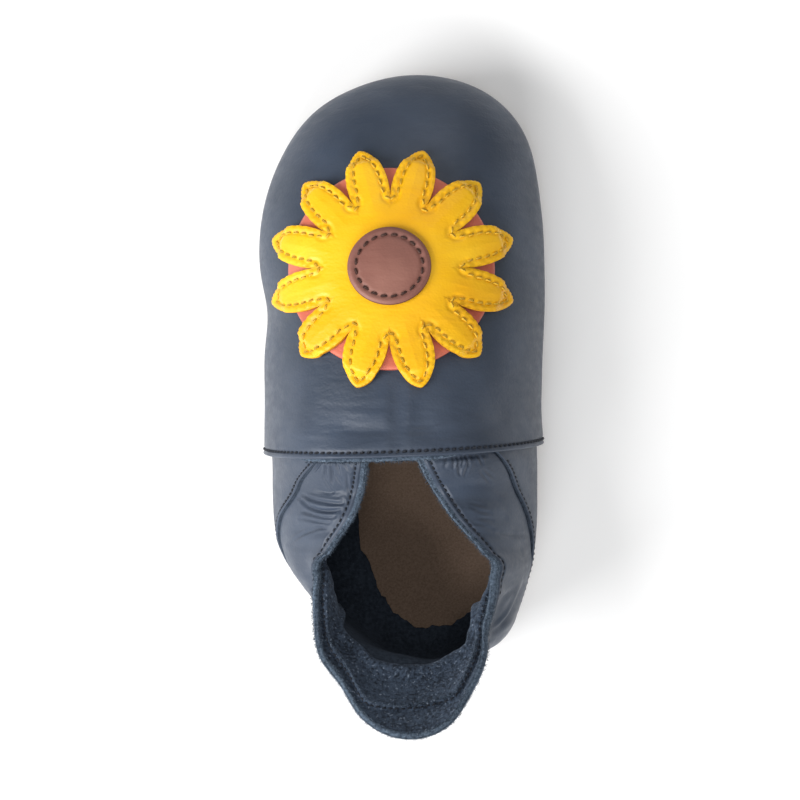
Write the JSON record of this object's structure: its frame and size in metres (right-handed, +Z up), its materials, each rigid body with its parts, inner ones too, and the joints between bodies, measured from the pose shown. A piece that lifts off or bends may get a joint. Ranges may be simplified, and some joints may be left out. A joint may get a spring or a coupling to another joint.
{
  "type": "soft-sole baby shoe",
  "caption": "Left soft-sole baby shoe: round-toed leather vamp with a sewn flower, gathered elastic ankle, collar falling back at the heel, and a flat suede sole with a turned-up margin.",
  "frame": {"origin": "on the floor under the middle of the shoe's bounding box", "axes": "+Y to the toe, +X to the inner side of the left foot, +Z up"},
  "size_m": [0.06, 0.137, 0.0487],
  "materials": {
    "suede_sole": "napped suede, matt",
    "insole_tan": "tan suede, matt",
    "navy_leather": "smooth navy leather, satin, suede on the inside",
    "coral_leather": "smooth leather, matt",
    "yellow_leather": "smooth leather, satin",
    "brown_leather": "smooth leather, matt"
  },
  "bodies": {
    "root": {"outsole": "suede_sole", "insole": "insole_tan", "upper": "navy_leather", "flower_backing": "coral_leather", "flower_petals": "yellow_leather", "flower_centre": "brown_leather"}
  },
  "joints": []
}
